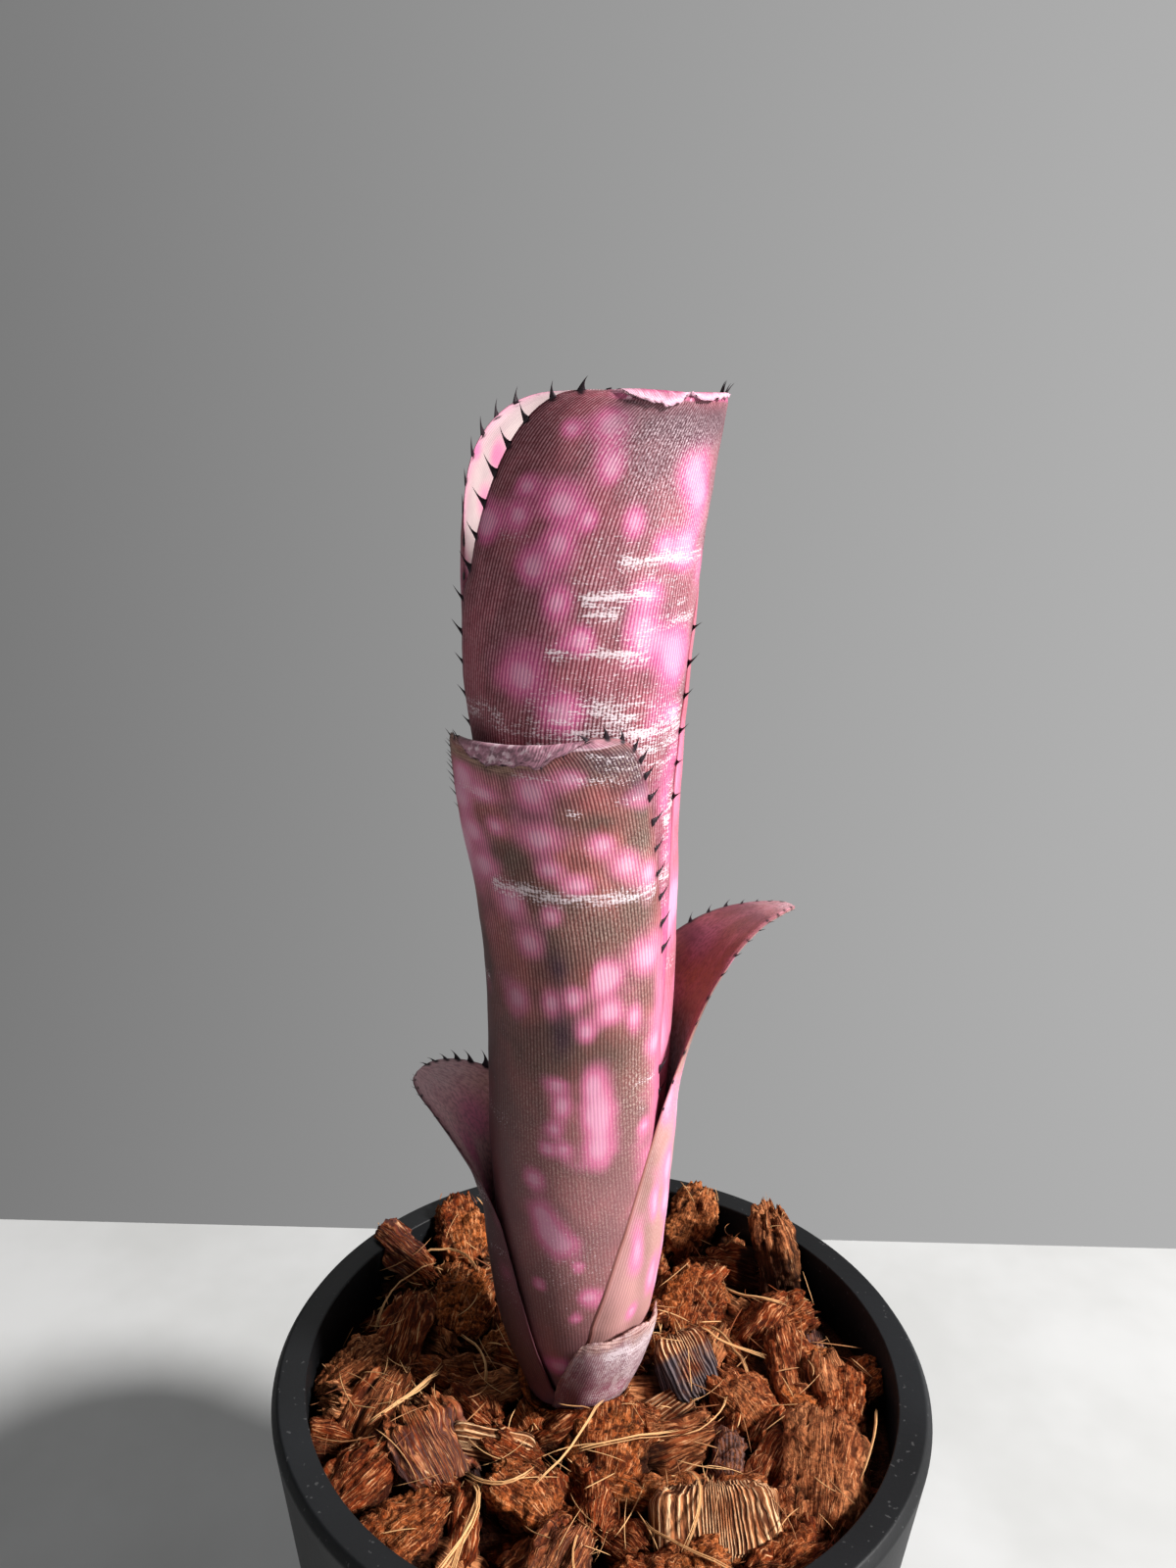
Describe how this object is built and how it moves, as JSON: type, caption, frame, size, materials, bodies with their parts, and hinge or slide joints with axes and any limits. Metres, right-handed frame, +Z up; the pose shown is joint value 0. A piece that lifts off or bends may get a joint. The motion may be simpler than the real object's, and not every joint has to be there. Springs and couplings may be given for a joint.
{
  "type": "potted incendiary delight billbergia",
  "caption": "Tubular bromeliad of rolled, spine-edged leaves nested upright, standing in coconut husk chips in a tapered round plant pot.",
  "frame": {"origin": "middle of the pot's underside, on the plane it stands on", "axes": "+Z up along the pot's axis; -Y is the plant's front, from which it was pictured; +X to the right of that view"},
  "size_m": [0.105, 0.105, 0.244],
  "materials": {
    "pot": "matt charcoal black, smooth moulded",
    "husk": "rough fibrous coconut husk, orange-brown",
    "stem": "dull fibrous stem",
    "leaf_young": "leathery leaf, maroon-pink with pink spots and silver cross-bands",
    "leaf_mature": "leathery leaf, olive-maroon with pink spots and silver flecks",
    "leaf_dry": "dry scurfy leaf base, greyish pink"
  },
  "bodies": {
    "root": {"pot": "pot", "husk_chips": "husk", "stem": "stem", "leaf_innermost": "leaf_young", "leaf_back": "leaf_young", "leaf_front": "leaf_mature", "leaf_right": "leaf_mature", "leaf_left": "leaf_mature", "old_leaf_base": "leaf_dry"}
  },
  "joints": []
}
